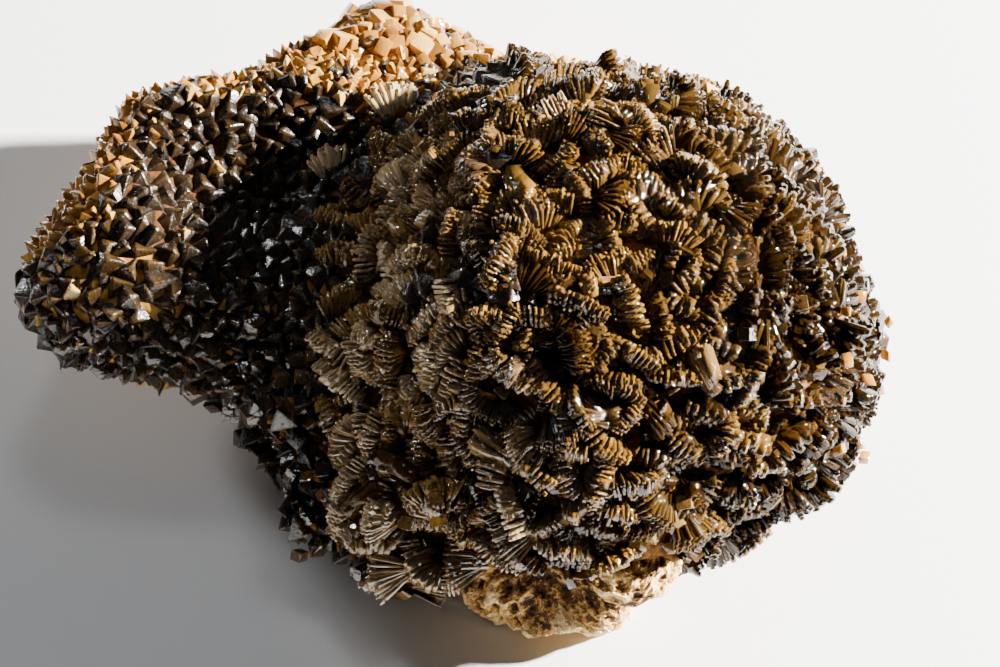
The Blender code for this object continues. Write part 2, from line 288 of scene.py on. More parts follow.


# %% [markdown]
# ## Copying a crystal
# One crystal is modelled by hand and copied hundreds of times, each copy with its own width, height, lean and
# turn. The operators would take minutes for that, so the copies are worked out as arrays and joined in one
# mesh. Each copy carries four values for its finish: its tone, dark to amber, which differs at random and
# also carries painted light and shade; how far up the crystal each corner is, which paints shade at the roots
# and a glow at the tips; how far along the fan's crest it is, for the fine ribs; and which of its faces are
# frosted with tiny crystals, which also pales them partly as a painted glint.

# %% Copy a model many times
SMALL_FACE = 0.06
CREASE_ANGLE = 38


def model_of(piece, frosted=lambda face: face.area < SMALL_FACE):
    """A modelled crystal as corners, triangles and each triangle's frost. The piece itself is removed."""
    mesh = piece.data
    mesh.calc_loop_triangles()
    corners = corners_of(mesh) * MM
    faces = np.zeros(len(mesh.loop_triangles) * 3, int)
    mesh.loop_triangles.foreach_get("vertices", faces)
    frost = [float(frosted(mesh.polygons[triangle.polygon_index])) for triangle in mesh.loop_triangles]
    bpy.data.objects.remove(piece)
    return corners, faces.reshape(-1, 3), np.array(frost)


def frames(up, spin, crest=None):
    """Three axes for each copy: sideways, deep and up. Sideways follows the crest where there is one."""
    up = up / np.linalg.norm(up, axis=1)[:, None]
    guide = crest if crest is not None else np.where(np.abs(up[:, 2:]) < 0.9, (0, 0, 1.0), (1.0, 0, 0))
    deep = np.cross(up, guide)
    deep /= np.linalg.norm(deep, axis=1)[:, None]
    side = np.cross(deep, up)
    ahead, aside = np.cos(spin)[:, None], np.sin(spin)[:, None]
    return np.stack([side * ahead + deep * aside, deep * ahead - side * aside, up], axis=2)


def joined_copies(name, groups, rounded=CREASE_ANGLE):
    """One piece from groups of copies. Edges that turn by less than the angle are shaded round.

    A group is a model, its copies' turns with sizes, places in mm, tones and frost and, for blades, where
    along the crest each starts and how far it spans.
    """
    all_corners, all_faces, tones, rises, frosts, ribs = ([] for _ in range(6))
    count = 0
    for (corners, faces, face_frost), turns, places, tone, frost, *rib in groups:
        if len(places) == 0:
            continue
        made = np.einsum("nij,vj->nvi", turns, corners) + places[:, None]
        all_corners.append(made.reshape(-1, 3))
        offsets = count + np.arange(len(places)) * len(corners)
        all_faces.append((faces[None] + offsets[:, None, None]).reshape(-1, 3))
        tones.append(np.repeat(tone, len(corners)))
        rises.append(np.tile(np.clip(corners[:, 2], 0, 1), len(places)))
        start, span = rib if rib else np.zeros((2, len(places)))
        ribs.append((start[:, None] + span[:, None] * corners[None, :, 0]).ravel())
        frosts.append((face_frost[None] * np.broadcast_to(frost, len(places))[:, None]).ravel())
        count += len(places) * len(corners)
    mesh = bpy.data.meshes.new(name)
    mesh.from_pydata(np.concatenate(all_corners) * MM, [], np.concatenate(all_faces))
    for label, values in (("tone", tones), ("rise", rises), ("rib", ribs), ("frost", frosts)):
        made = mesh.attributes.new(label, "FLOAT", "FACE" if label == "frost" else "POINT")
        made.data.foreach_set("value", np.concatenate(values))
    piece = bpy.data.objects.new(name, mesh)
    bpy.context.scene.collection.objects.link(piece)
    alone(piece)
    bpy.ops.object.shade_smooth_by_angle(angle=math.radians(rounded))
    print(name + ":", sum(len(group[2]) for group in groups), "crystals,", len(mesh.polygons), "triangles")
    return piece


# %% [markdown]
# ## Dog teeth
# What shows of a dog tooth is a low three-sided point, crowded by its neighbours. It starts as a cone with
# three sides, in one of the four models with four, and its edges get a fine bevel, because light catches the
# edges of the real ones. The blunt crystals between the fans start as cubes that stand on one corner.

# %% Model the teeth
def tooth_model(sides, bevel, tip, lean, squeeze):
    """A pointed crystal one unit wide and one tall. Its tip is cut off a little and leans over."""
    bpy.ops.object.select_all(action="DESELECT")
    bpy.ops.mesh.primitive_cone_add(vertices=sides, radius1=0.5, radius2=tip, depth=1, location=(0, 0, 0.5))
    tooth = bpy.context.object
    bpy.ops.object.transform_apply(location=True)
    bpy.ops.object.mode_set(mode="EDIT")
    bpy.ops.mesh.select_all(action="SELECT")
    bpy.ops.mesh.bevel(offset=bevel, segments=2, affect="EDGES")
    bpy.ops.transform.resize(value=(1, squeeze, 1), center_override=(0, 0, 0))
    bpy.ops.mesh.normals_make_consistent(inside=False)
    bpy.ops.object.mode_set(mode="OBJECT")
    corners, faces, frost = model_of(tooth)
    corners[:, 0] += lean * corners[:, 2] ** 2
    return corners, faces, frost


teeth_models = [
    tooth_model(3, 0.070, 0.05, 0.08, 1.0),
    tooth_model(3, 0.080, 0.07, -0.08, 0.88),
    tooth_model(3, 0.075, 0.09, 0.05, 1.1),
    tooth_model(4, 0.070, 0.05, 0.10, 0.85),
]
RHOMB_SIDE = 0.62
RHOMB_HALF_DIAGONAL = 0.537


def rhomb_model(stretch, bevel):
    """A cube stood on one corner and stretched along its upright diagonal, with its tip one unit up."""
    bpy.ops.object.select_all(action="DESELECT")
    bpy.ops.mesh.primitive_cube_add(size=RHOMB_SIDE, location=(0, 0, 0))
    rhomb = bpy.context.object
    tip = Vector((1, 1, 1)).rotation_difference(Vector((0, 0, 1)))
    rhomb.rotation_euler = tip.to_euler()
    bpy.ops.object.transform_apply(rotation=True)
    bpy.ops.object.mode_set(mode="EDIT")
    bpy.ops.mesh.select_all(action="SELECT")
    if bevel:
        bpy.ops.mesh.bevel(offset=bevel, segments=1, affect="EDGES")
    bpy.ops.transform.resize(value=(1, 1, stretch))
    bpy.ops.transform.translate(value=(0, 0, 1 - RHOMB_HALF_DIAGONAL * stretch))
    bpy.ops.object.mode_set(mode="OBJECT")
    return model_of(rhomb)


rhomb_models = [rhomb_model(0.62, 0.025), rhomb_model(1.35, 0.04), rhomb_model(0.5, 0.02)]
# The small rhombs on a fan's crest are frosted all over.
plain_rhomb = rhomb_model(0.85, 0.0)
plain_rhomb[2][:] = 1
print("tooth models:", [len(model[1]) for model in teeth_models], "triangles")
print("rhomb models:", [len(model[1]) for model in (*rhomb_models, plain_rhomb)], "triangles")

# %% [markdown]
# ## The wing's teeth
# They cover the wing, each leaning a little its own way. In the dish they are painted dark, as painted shade,
# and they lighten towards the rim as a painted glow. On the outer side of the rim the light shines through
# smaller teeth, painted honey and cream as a painted glow, which are a piece of their own.

# %% Grow the wing's teeth
WHOLE_TO_SHOWN = 1.3
RIM_START = 22


def grown_teeth(spots, facing, width, height, tilt, tone, models, frost=0.0):
    """Teeth on these places: width and height in mm, tilt as a share, tone from dark 0 to amber 1."""
    count = len(spots)
    up = facing + rng.normal(0, tilt, (count, 3))
    turns = frames(up, rng.uniform(0, 2 * math.pi, count))
    sideways = width * rng.uniform(0.85, 1.2, count)
    deep = width * rng.uniform(0.85, 1.2, count)
    turns = turns * np.stack([sideways, deep, height], axis=1)[:, None, :]
    kinds = rng.integers(0, len(models), count)
    groups = []
    for k, model in enumerate(models):
        own = kinds == k
        groups.append((model, turns[own], spots[own], tone[own], frost))
    return groups


def rooted(spots, facing, least, most):
    """Heights of teeth that show by least to most mm, and their feet, which are under the skin."""
    shown = rng.uniform(least, most, len(spots))
    height = shown * WHOLE_TO_SHOWN
    return height, spots - facing * (height - shown)[:, None]


def on_lip(spots, facing):
    """The outer side of the wing's rim, all round but on the near side."""
    away = spots - DISH_CENTRE
    not_near = away[:, 1] > -0.35 * np.linalg.norm(away[:, :2], axis=1)
    turned = (lip_of(spots, facing) > 0.0) & (rim_reach(spots) > RIM_START) & (spots[:, 0] < -8)
    return (wing_share(spots) > 0.5) & (facing[:, 2] > -0.55) & turned & not_near


def on_wing(spots, facing):
    """The rest of the wing."""
    return (wing_share(spots) > 0.5) & (facing[:, 2] > -0.55) & ~on_lip(spots, facing)


spots, facing, _ = strewn(40000, 2.6, on_wing)
# Painted light: the teeth are dark in the dish as painted shade, and lighter towards the rim as a painted
# glow.
painted_rim_glow = 0.16 * ramp(lip_of(spots, facing), -0.25, 0.0) * ramp(rim_reach(spots), 20, 28)
tone = np.clip(painted_rim_glow + rng.normal(0.0, 0.06, len(spots)), 0, 1)
width = rng.uniform(6.2, 8.2, len(spots))
height, feet = rooted(spots, facing, 1.5, 2.3)
groups = grown_teeth(feet, facing, width, height, 0.12, tone, teeth_models, 0.4)
wing_teeth = joined_copies("wing_teeth", groups)

spots, facing, _ = strewn(30000, 1.8, on_lip)
width = rng.uniform(3.8, 5.4, len(spots))
height, feet = rooted(spots, facing, 1.3, 2.1)
# Painted glow: the rim's teeth get a honey tone where light shines through them.
tone = np.clip(rng.normal(0.52, 0.18, len(spots)), 0, 1)
groups = grown_teeth(feet, facing, width, height, 0.2, tone, teeth_models, 0.5)
rim_teeth = joined_copies("rim_teeth", groups)

# %% [markdown]
# ## The flank's teeth
# Below the wing, on the steep near left side, the teeth are painted nearly black, as painted shade, and they
# are a little narrower. Their small faces are the most frosted, which gives them pale edges, partly frost and
# partly a painted glint.

# %% Grow the flank's teeth
def on_flank(spots, facing):
    """The steep side below the wing. Its border with the dome leans to the left with height."""
    left_of_dome = spots[:, 0] < -17 - 0.35 * (spots[:, 2] - 12)
    return (turn_round_dome(spots) > 186) & left_of_dome & (spots[:, 2] < 33) & (facing[:, 2] > -0.5)


spots, facing, _ = strewn(12000, 2.9, on_flank)
width = rng.uniform(5.2, 7.2, len(spots))
# Painted shade: the flank's teeth get a nearly black tone.
tone = np.clip(rng.normal(0.05, 0.07, len(spots)), 0, 1)
height, feet = rooted(spots, facing, 1.5, 2.3)
groups = grown_teeth(feet, facing, width, height, 0.16, tone, teeth_models, 0.8)
flank_teeth = joined_copies("flank_teeth", groups)

# %% [markdown]
# ## Blades
# A cockscomb fan is a bundle of blades that spread from one root like a hand of cards. A blade is a card
# with four sides, shaded round, so that a soft groove runs between it and the next. It is drawn in towards
# its root and ends in a few small frosted faces. It starts as a cylinder with four sides, and its top is
# extruded and drawn in twice. One more blade, as wide as the whole fan, is the body inside, so that nothing
# behind the fan shows between its blades.

# %% Model the blades
BLADE_SIDES = 4


def blade_model(root, shoulder, steps):
    """A blade one unit wide, deep and tall, with a foot as wide as root and an end that starts at shoulder.

    Each step of the end is its share of the rise, how far it leans over and what is left of its width and
    depth.
    """
    bpy.ops.object.select_all(action="DESELECT")
    half_turn = math.pi / BLADE_SIDES
    bpy.ops.mesh.primitive_cylinder_add(
        vertices=BLADE_SIDES,
        radius=0.5 / math.cos(half_turn),
        depth=1,
        location=(0, 0, 0.5),
        rotation=(0, 0, half_turn),
    )
    blade = bpy.context.object
    bpy.ops.object.transform_apply(location=True, rotation=True, scale=True)
    for chosen, scale, shift in (
        (lambda face: face.normal.z < -0.9, (root, 0.7, 1), (0, 0, 0)),
        (lambda face: face.normal.z > 0.9, (1, 1, 1), (0, 0, shoulder - 1)),
    ):
        for face in blade.data.polygons:
            face.select = chosen(face)
        bpy.ops.object.mode_set(mode="EDIT")
        bpy.ops.transform.resize(value=scale)
        bpy.ops.transform.translate(value=shift)
        bpy.ops.object.mode_set(mode="OBJECT")
    for face in blade.data.polygons:
        face.select = face.normal.z > 0.9
    bpy.ops.object.mode_set(mode="EDIT")
    for rise, lean, wide, deep in steps:
        shift = (0, lean, (1 - shoulder) * rise)
        bpy.ops.mesh.extrude_region_move(TRANSFORM_OT_translate={"value": shift})
        bpy.ops.transform.resize(value=(wide, deep, 1))
    bpy.ops.mesh.select_all(action="SELECT")
    bpy.ops.mesh.normals_make_consistent(inside=False)
    bpy.ops.object.mode_set(mode="OBJECT")
    return model_of(blade, lambda face: face.center.z > shoulder)


blade_models = [
    blade_model(0.40, 0.84, [(0.6, 0.0, 0.92, 0.74), (0.4, 0.0, 0.7, 0.35)]),
    blade_model(0.45, 0.88, [(0.6, 0.10, 0.92, 0.74), (0.4, 0.10, 0.7, 0.50)]),
    blade_model(0.40, 0.80, [(0.6, -0.12, 0.92, 0.70), (0.4, -0.12, 0.7, 0.25)]),
]
body_model = blade_model(0.25, 0.66, [(0.6, 0.0, 0.78, 0.9), (0.28, 0.0, 0.64, 0.85), (0.12, 0.0, 0.5, 0.8)])
print("blade models:", [len(model[1]) for model in blade_models], "triangles")

# %% [markdown]
# ## One fan
# The blades spread over an arc. They are a little loose: no two have the same length, depth or turn, so the
# crest is ragged. Along the crest sit small rhombs, which share one turn, as crystals that grow on the same
# parent do.

# %% Put a fan together
# In mm: how deep the root lies under the skin.
ROOT_DEPTH = 1.6
# As a share of the fan's width: how wide its root is.
ROOT_SHARE = 0.30
# In radians: how far the outermost blade leans to its side.
SPREAD = 0.65
# As a share of a blade's length: how much shorter the outermost one is.
DROOP = 0.12
# As shares of the blades' depth and of the fan's height: the body inside.
BODY_DEPTH = 0.88
BODY_HEIGHT = 0.95
BLADE_DEPTH = 0.85
CRUMBS_PER_BLADE = 0.8


def fan_axes(facing, crest, loose):
    """A fan's own crest, depth and up. Up leans a little from the way that the skin faces."""
    up = facing + loose * (0.12 * rng.normal(0, 1, 3) + 0.26 * rng.normal() * np.cross(facing, crest))
    up = up / np.linalg.norm(up)
    crest = crest - up * crest.dot(up)
    crest = crest / np.linalg.norm(crest)
    return crest, np.cross(up, crest), up


def blades_of(axes, root, width, height, depth, pitch):
    """One fan's blades: turns with sizes, places, shares of the way along the arc, and widths."""
    crest, deep, up = axes
    arc = width * ROOT_SHARE + 2 * SPREAD * height
    count = max(3, round(arc / pitch))
    share = (np.arange(count) + 0.5 + rng.uniform(-0.12, 0.12, count)) / count * 2 - 1
    foot = share * width * ROOT_SHARE / 2
    splay = share * SPREAD
    length = height * (1 - DROOP * share**2) * rng.uniform(0.94, 1.03, count)
    run = np.sin(splay)[:, None] * crest + np.cos(splay)[:, None] * up
    wide = arc / count * rng.uniform(1.0, 1.25, count)
    thinned = 0.75 + 0.25 * np.cos(share * 1.5)
    deepness = BLADE_DEPTH * depth * thinned * rng.uniform(0.82, 1.18, count)
    turned = frames(run, rng.normal(0, 0.15) + rng.normal(0, 0.11, count), np.tile(crest, (count, 1)))
    turns = turned * np.stack([wide, deepness, length], axis=1)[:, None, :]
    aside = rng.normal(0, 0.04 * depth, count)
    return turns, root + foot[:, None] * crest + deep[None] * aside[:, None], share * arc / 2, wide


def crumbs_of(axes, root, width, height, depth, crumb, count):
    """The small rhombs along one fan's crest: turns with sizes, and places."""
    crest, deep, up = axes
    share = rng.uniform(-1, 1, count)
    size = crumb * rng.uniform(0.6, 1.3, count)
    out = height * (1 - DROOP * share**2) * rng.uniform(0.86, 0.99, count) - 0.5 * size
    side = share * width * ROOT_SHARE / 2 + np.sin(share * SPREAD) * out
    top = np.cos(share * SPREAD) * out
    off = rng.uniform(-0.36, 0.36, count) * depth
    shared_turn = np.linalg.qr(rng.normal(0, 1, (3, 3)))[0]
    turns = (shared_turn + rng.normal(0, 0.05, (count, 3, 3))) * size[:, None, None]
    return turns, root + side[:, None] * crest + top[:, None] * up + off[:, None] * deep


def fan_groups(spots, facing, crests, tones, width, height, depth, pitch, crumb, frost, loose=1.0):
    """Many fans as two lists of groups: their blades and bodies, and the small rhombs on their crests."""
    blades, crumbs, bodies, rib_starts, arcs = ([] for _ in range(5))
    for k in range(len(spots)):
        axes = fan_axes(facing[k], crests[k], loose)
        crest, deep, up = axes
        root = spots[k] - up * ROOT_DEPTH
        turns, places, along, wide = blades_of(axes, root, width[k], height[k], depth[k], pitch[k])
        count = len(places)
        shades = np.clip(tones[k] + rng.normal(0, 0.05, count), 0, 1)
        kinds = np.full(count, rng.integers(0, len(blade_models)))
        rib_starts.append(rng.uniform(0, 500))
        arcs.append(width[k] * ROOT_SHARE + 2 * SPREAD * height[k])
        frosts = np.full(count, frost[k])
        blades.append((turns, places, shades, frosts, rib_starts[-1] + along, wide, kinds))
        broad = width[k] * ROOT_SHARE + 2 * math.sin(SPREAD) * height[k]
        body_size = broad, BLADE_DEPTH * depth[k] * BODY_DEPTH, height[k] * BODY_HEIGHT
        bodies.append(np.stack([crest, deep, up], axis=1) * body_size)
        count = round(CRUMBS_PER_BLADE * count)
        turns, places = crumbs_of(axes, root, width[k], height[k], depth[k], crumb[k], count)
        # The crest's rhombs are a little paler, partly frost and partly a painted glint.
        shades = np.clip(tones[k] + rng.normal(0.04, 0.05, count), 0, 1)
        crumbs.append((turns, places, shades, np.full(count, frost[k])))
    *blades, kinds = (np.concatenate(column) for column in zip(*blades))
    groups = []
    for k, model in enumerate(blade_models):
        groups.append((model, *(column[kinds == k] for column in blades)))
    body_feet = spots - facing * ROOT_DEPTH
    body_ribs = np.array(rib_starts), np.array(arcs)
    # Painted shade: each fan's body is a little darker than its blades, in the grooves between them.
    groups.append((body_model, np.array(bodies), body_feet, tones - 0.05, frost, *body_ribs))
    return groups, [(plain_rhomb, *(np.concatenate(column) for column in zip(*crumbs)))]


# %% [markdown]
# ## The dome's fans
# Each fan stands outwards on the dome, and its crest runs mostly round the dome, as the scales of a cone do,
# bending together with its neighbours'. The blades of one fan share its tone. On the right they are thicker,
# and the fans are painted darker there, as painted shade where the key light strikes hardest; on the shaded
# left they are painted lighter, as painted light. The fans are kept apart by the side that they face, because
# each side gets a finish of its own, a lit or a shaded copy of the calcite.

# %% Grow the fans
# The crests run round this direction.
POLE = np.array((0.05, -0.40, 0.91))
# A place on the near side where only small crystals grow, and how far it reaches.
BARE_PATCH = (32.0, -47.5, 21.0)
BARE_REACH = 6.0
SHADED_BELOW = -0.42
RIGHT_ABOVE = 0.38
ROUND_ANGLE = 100


def on_dome(spots, facing):
    """The dome without the flank and without its lowest corner on the near right."""
    low_corner = (spots[:, 0] > 42) & (spots[:, 1] < -30) & (spots[:, 2] < 9)
    return (wing_share(spots) < 0.6) & ~on_flank(spots, facing) & (facing[:, 2] > -0.5) & ~low_corner


def on_fans(spots, facing):
    """The dome without its bare patch."""
    return on_dome(spots, facing) & (np.linalg.norm(spots - BARE_PATCH, axis=1) > BARE_REACH)


def crest_ways(spots, facing):
    """The way that a fan's crest runs at each place."""
    around = np.cross(facing, POLE)
    around /= np.linalg.norm(around, axis=1)[:, None]
    across = np.cross(facing, around)
    x, y, z = spots.T
    swing = 0.5 * np.sin(x / 8 + 1.2 * np.sin(y / 11)) + 0.4 * np.sin(y / 7 - z / 10)
    swing = swing + rng.normal(0, 0.2, len(spots))
    return np.cos(swing)[:, None] * around + np.sin(swing)[:, None] * across


def sides_of(spots):
    """How far on the dome's right and on its left each place is, from 0 to 1."""
    return ramp(spots[:, 0], 25, 62), ramp(spots[:, 0], 10, -12)


clear_fans, shaded_fans, right_fans = [], [], []


def grown_fans(name, *values):
    """Fans and the rhombs on their crests, kept apart by side: the middle, the shaded left and the right."""
    towards_x = values[1][:, 0]
    left_side, right_side = towards_x < SHADED_BELOW, towards_x > RIGHT_ABOVE
    for own, kept, prefix in (
        (~left_side & ~right_side, clear_fans, ""),
        (left_side, shaded_fans, "shaded_"),
        (right_side, right_fans, "right_"),
    ):
        blades, crumbs = fan_groups(*(value[own] for value in values))
        kept.append(joined_copies(prefix + name, blades, ROUND_ANGLE))
        kept.append(joined_copies(prefix + name + "_ends", crumbs))


spots, facing, crests = strewn(40000, 4.3, on_fans, crest_ways, 1.6)
right, left = sides_of(spots)
# Painted light: the tone is darker on the right, as painted shade, and lighter on the shaded left; the rest
# differs at random.
tone = np.clip(0.39 - 0.24 * right + 0.26 * left + rng.normal(0, 0.09, len(spots)), 0, 1)
width = rng.uniform(8.5, 12.5, len(spots))
height = rng.uniform(6.4, 7.8, len(spots)) * (1 - 0.25 * ramp(spots[:, 0], 64, 72))
depth = rng.uniform(4.4, 6.2, len(spots))
pitch = rng.uniform(0.8, 1.3, len(spots)) + 1.6 * right
crumb = rng.uniform(0.5, 1.0, len(spots)) * (1 + 0.7 * right)
frost = 1 - 0.7 * right
grown_fans("dome_fans", spots, facing, crests, tone, width, height, depth, pitch, crumb, frost)

# %% [markdown]
# ## Low fans
# Younger and lower fans have grown between the large ones, in any direction, and close the gaps.

# %% Grow the low fans
def any_ways(spots, facing):
    """A crest that runs in any direction."""
    guide = np.cross(facing, rng.normal(0, 1, spots.shape))
    return guide / np.linalg.norm(guide, axis=1)[:, None]


spots, facing, crests = strewn(40000, 4.8, on_fans, any_ways, 1.3)
right, left = sides_of(spots)
# Painted light: the tone is darker on the right, as painted shade, and lighter on the shaded left; the rest
# differs at random.
tone = np.clip(0.35 - 0.22 * right + 0.26 * left + rng.normal(0, 0.09, len(spots)), 0, 1)
width = rng.uniform(5.0, 8.0, len(spots))
height = rng.uniform(5.0, 6.8, len(spots))
depth = rng.uniform(3.4, 5.0, len(spots))
pitch = rng.uniform(0.9, 1.4, len(spots)) + 1.4 * right
crumb = rng.uniform(0.5, 0.9, len(spots))
frost = 1 - 0.7 * right
grown_fans("low_fans", spots, facing, crests, tone, width, height, depth, pitch, crumb, frost)

# %% [markdown]
# ## Blocks on the far rim
# The far edge of the wing is lined with rounded honey blocks instead of teeth; their honey finish paints the
# glow of light shining through them. A block starts as a cube and gets a wide bevel in two steps.

# %% Grow the blocks
def block_model(bevel):
    """A rounded cube, one unit wide and one tall, standing on the origin."""
    bpy.ops.object.select_all(action="DESELECT")
    bpy.ops.mesh.primitive_cube_add(size=1, location=(0, 0, 0.5))
    block = bpy.context.object
    bpy.ops.object.transform_apply(location=True)
    bpy.ops.object.mode_set(mode="EDIT")
    bpy.ops.mesh.select_all(action="SELECT")
    bpy.ops.mesh.bevel(offset=bevel, segments=2, affect="EDGES")
    bpy.ops.object.mode_set(mode="OBJECT")
    return model_of(block)


block_models = [block_model(0.10), block_model(0.16)]
BLOCK_SINK = 1.0


def on_far_rim(spots, facing):
    """The wing's far end, behind the dome's left shoulder."""
    return (wing_share(spots) > 0.5) & (spots[:, 1] > 45) & (spots[:, 0] > -30)


spots, facing, _ = strewn(20000, 2.3, on_far_rim)
width = rng.uniform(2.4, 3.8, len(spots))
height = rng.uniform(2.6, 3.8, len(spots))
tone = np.clip(rng.normal(0.44, 0.18, len(spots)), 0, 1)
feet = spots - facing * BLOCK_SINK
groups = grown_teeth(feet, facing, width, height, 0.35, tone, block_models, 0.3)
rim_blocks = joined_copies("rim_blocks", groups)

# %% [markdown]
# ## Pale crystals on the right edge
# A few honey-coloured rhombs stand out from the right edge; their honey colour is a painted glow of the light
# that strikes through them.

# %% Grow the edge crystals
EDGE_STAND = 3.0


def on_right_edge(spots, facing):
    """The part of the dome that faces right, above its widest line."""
    return (spots[:, 0] > 60) & (spots[:, 1] > -30) & (facing[:, 0] > 0.75) & (facing[:, 2] > 0.0)


spots, facing, _ = strewn(6000, 8.0, on_right_edge)
width = rng.uniform(2.2, 3.4, len(spots))
tone = np.clip(rng.normal(0.50, 0.10, len(spots)), 0, 1)
feet = spots + facing * EDGE_STAND
groups = grown_teeth(feet, facing, width, width, 0.3, tone, rhomb_models[:2], 0.3)
edge_crystals = joined_copies("edge_crystals", groups, 60)

# %% [markdown]
# ## The crystals that stand out
# A few fans and teeth are larger or paler than the rest, and the eye finds them first. Each has its own
# place. The first two fans are painted pale in the shaded finish, as painted light where they stand in shade;
# the pale teeth take the honey finish and its painted glow.

# %% Grow the tall fans and teeth
PAINTED_LIT_FANS = 2
TALL_FANS = np.array([
    # root x y z, up x y z, crest x y z, width, height, depth, pitch, tone; the ones painted pale, as painted
    # light, come first
    (-12.5, 30.0, 34.5, -0.05, 0.70, 0.70, 0.85, 0.05, -0.53, 4.0, 9.5, 3.4, 1.7, 1.0),
    (-23.5, 19.0, 33.0, -0.10, 0.55, 0.83, 0.85, 0.10, -0.50, 6.0, 8.0, 3.4, 1.7, 0.95),
    (16.5, 22.0, 46.0, 0.50, 0.50, 0.62, -0.6, 0.55, 0.3, 10.0, 10.5, 4.0, 0.95, 0.52),
    (7.5, -44.0, 27.0, -0.35, -0.30, 0.88, 0.8, 0.3, 0.4, 10.0, 9.0, 4.4, 1.3, 0.78),
    (41.8, -11.8, 47.0, 0.45, 0.05, 0.85, 0.1, 0.95, -0.1, 12.0, 9.0, 4.4, 0.7, 0.32),
    (61.5, -16.0, 33.0, 0.80, -0.25, 0.50, 0.3, 0.9, -0.1, 12.0, 9.0, 4.4, 0.9, 0.32),
    (1.3, 24.6, 41.0, -0.20, 0.35, 0.90, 0.9, 0.3, 0.1, 10.0, 10.0, 4.4, 1.1, 0.55),
])
TALL_TEETH = np.array([
    # foot x y z, width, height, tone
    (-44.6, 19.6, 34.2, 6.6, 4.6, 1.0),
    (-48.8, 32.4, 39.6, 5.2, 3.6, 0.85),
    (-48.7, 4.1, 36.9, 4.8, 3.4, 0.80),
    (-11.9, 44.4, 34.5, 5.0, 3.8, 0.95),
    (-7.2, 41.8, 33.4, 4.8, 3.6, 0.90),
    (-22.4, 32.5, 37.6, 5.4, 3.8, 0.90),
    (-67.0, -6.9, 36.6, 6.0, 2.8, 0.95),
    (21.9, -50.5, 20.5, 8.5, 6.0, 0.85),
    (44.0, 30.0, 43.0, 5.0, 4.5, 1.0),
])
roots, ups, crests = TALL_FANS[:, :3], TALL_FANS[:, 3:6], TALL_FANS[:, 6:9]
ups = ups / np.linalg.norm(ups, axis=1)[:, None]
width, height, depth, pitch, tone = TALL_FANS[:, 9:].T
crumb, frost = np.full(len(roots), 0.7), np.full(len(roots), 0.3)
for name, own, kept in (
    ("painted_lit_fans", slice(0, PAINTED_LIT_FANS), shaded_fans),
    ("tall_fans", slice(PAINTED_LIT_FANS, None), clear_fans),
):
    values = [value[own] for value in (roots, ups, crests, tone, width, height, depth, pitch, crumb, frost)]
    blades, crumbs = fan_groups(*values, loose=0.2)
    kept.append(joined_copies(name, blades + crumbs, ROUND_ANGLE))
feet = TALL_TEETH[:, :3]
width, height, tone = TALL_TEETH[:, 3:].T
ups = np.tile((0.0, -0.2, 1.0), (len(feet), 1))
groups = grown_teeth(feet, ups, width, height, 0.12, tone, teeth_models[:3], 0.5)
tall_teeth = joined_copies("tall_teeth", groups)

# %% [markdown]
# ## Small crystals in the gaps
# No bare skin shows between the real fans: short blunt crystals fill the gaps, and they alone cover the
# bare patch, where they are pale.

# %% Fill the gaps
def in_gaps(spots, facing):
    """The whole dome and the flank."""
    return on_dome(spots, facing) | on_flank(spots, facing)


spots, facing, _ = strewn(20000, 3.6, in_gaps)
width = rng.uniform(3.0, 4.6, len(spots))
height = width * rng.uniform(0.9, 1.4, len(spots))
patch = ramp(np.linalg.norm(spots - BARE_PATCH, axis=1), 9, BARE_REACH)
tone = np.clip(rng.normal(0.20, 0.10, len(spots)) + 0.6 * patch, 0, 1)
feet = spots - facing * (0.2 * height)[:, None]
gap_models = rhomb_models + teeth_models[:1]
groups = grown_teeth(feet, facing, width, height, 0.35, tone, gap_models, 0.5)
gap_crystals = joined_copies("gap_crystals", groups)

# %% [markdown]
# ## Finishes as sums
# A finish is easiest to read as a sum of masks. A small class wraps a socket, so that plus, minus and times
# build the maths nodes, and one method adds every other node.

# %% Mix finishes
class Wire:
    """A value in a finish, on which sums can be done."""

    def __init__(self, paint, socket):
        self.paint = paint
        self.socket = socket

    def __add__(self, other):
        return self.paint.sum("ADD", self, other)

    def __radd__(self, other):
        return self.paint.sum("ADD", other, self)

    def __sub__(self, other):
        return self.paint.sum("SUBTRACT", self, other)

    def __rsub__(self, other):
        return self.paint.sum("SUBTRACT", other, self)

    def __mul__(self, other):
        return self.paint.sum("MULTIPLY", self, other)

    def __rmul__(self, other):
        return self.paint.sum("MULTIPLY", other, self)


class Paint:
    """One finish. Its nodes are added by name, and its surface is the shader that they feed."""

    def __init__(self, name):
        self.material = bpy.data.materials.new(name)
        self.material.use_nodes = True
        self.tree = self.material.node_tree
        self.surface = self.tree.nodes["Principled BSDF"]

    def fill(self, socket, value):
        """Links a wire to a socket, or sets a plain value on it."""
        if isinstance(value, Wire):
            self.tree.links.new(value.socket, socket)
        else:
            socket.default_value = value

    def node(self, kind, settings=(), sockets=(), output=0):
        """Adds a node, sets it, fills its sockets and returns one of its outputs."""
        made = self.tree.nodes.new("ShaderNode" + kind)
        for name, value in dict(settings).items():
            if name == "stops":
                for _ in value[2:]:
                    made.color_ramp.elements.new(0.5)
                for element, (place, colour) in zip(made.color_ramp.elements, value):
                    element.position = place
                    element.color = (*colour, 1)
            else:
                setattr(made, name, value)
        for name, value in dict(sockets).items():
            self.fill(made.inputs[name], value)
        return Wire(self, made.outputs[output])

    def sum(self, operation, first, second):
        return self.node("Math", {"operation": operation}, {0: first, 1: second})

    def set(self, **values):
        """Fills the surface's sockets. An underscore in a name stands for a space."""
        for name, value in values.items():
            self.fill(self.surface.inputs[name.replace("_", " ")], value)
